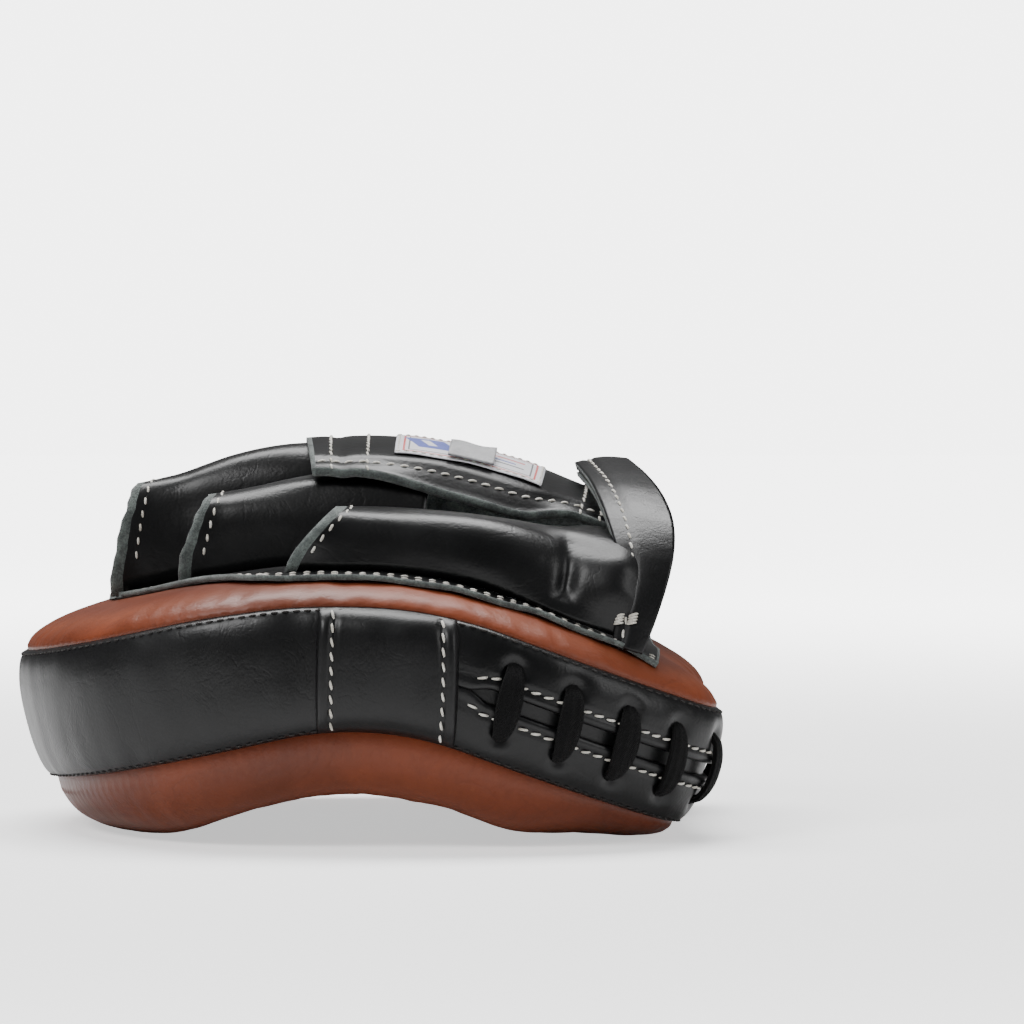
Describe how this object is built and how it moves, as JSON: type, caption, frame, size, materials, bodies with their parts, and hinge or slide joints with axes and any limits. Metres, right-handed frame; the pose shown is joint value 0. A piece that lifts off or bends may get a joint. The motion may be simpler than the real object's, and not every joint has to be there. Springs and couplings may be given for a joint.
{
  "type": "focus mitt",
  "caption": "Curved padded leather punch-catching mitt for the left hand, with a laced wrist end and a sewn-on open-fingered glove on its back.",
  "frame": {"origin": "centre of the mitt's outline on the ground that its strike face lies on", "axes": "+X towards the wrist end, -Y towards the little finger, +Z out of the back of the mitt, strike face down"},
  "size_m": [0.229, 0.211, 0.1263],
  "materials": {
    "brown_leather": "oiled, semi-gloss, with cloudy colour",
    "black_leather": "semi-gloss, fine grain and creases",
    "white_leather": "grained, satin",
    "grey_suede": "raw split suede, matte",
    "black_cotton_lace": "braided cotton, matte",
    "foam": "closed-cell foam, matte",
    "woven_label": "damask woven, slight sheen",
    "satin_tag": "satin ribbon",
    "white_thread": "thick waxed sewing thread"
  },
  "bodies": {
    "mitt": {"strike_face_cover": "brown_leather", "target_patch": "white_leather", "back_cover": "brown_leather", "finger_end_gusset": "black_leather", "wrist_gusset_back": "black_leather", "wrist_gusset_face": "black_leather", "little_finger_side_band": "black_leather", "thumb_side_band": "black_leather", "lacing_welt": "grey_suede", "lace": "black_cotton_lace", "lace_knot": "black_cotton_lace", "core_foam": "foam", "strike_face_foam": "foam", "back_foam": "foam", "glove_base": "black_leather", "little_finger_sleeve": "black_leather", "ring_finger_sleeve": "black_leather", "middle_finger_sleeve": "black_leather", "index_finger_sleeve": "black_leather", "thumb_sleeve": "black_leather", "hand_back_panel": "black_leather", "hand_back_padding": "foam", "thumb_side_panel": "black_leather", "cuff_band": "black_leather", "cuff_lining": "grey_suede", "woven_label": "woven_label"},
    "size_tag": {"size_tag": "satin_tag"}
  },
  "joints": [
    {"name": "size_tag_flap", "type": "hinge", "parent": "mitt", "child": "size_tag", "pos_m": [0.03296, -0.03499, 0.11836], "axis": [0.9748, 0, -0.223], "range_deg": [0, 150]}
  ]
}
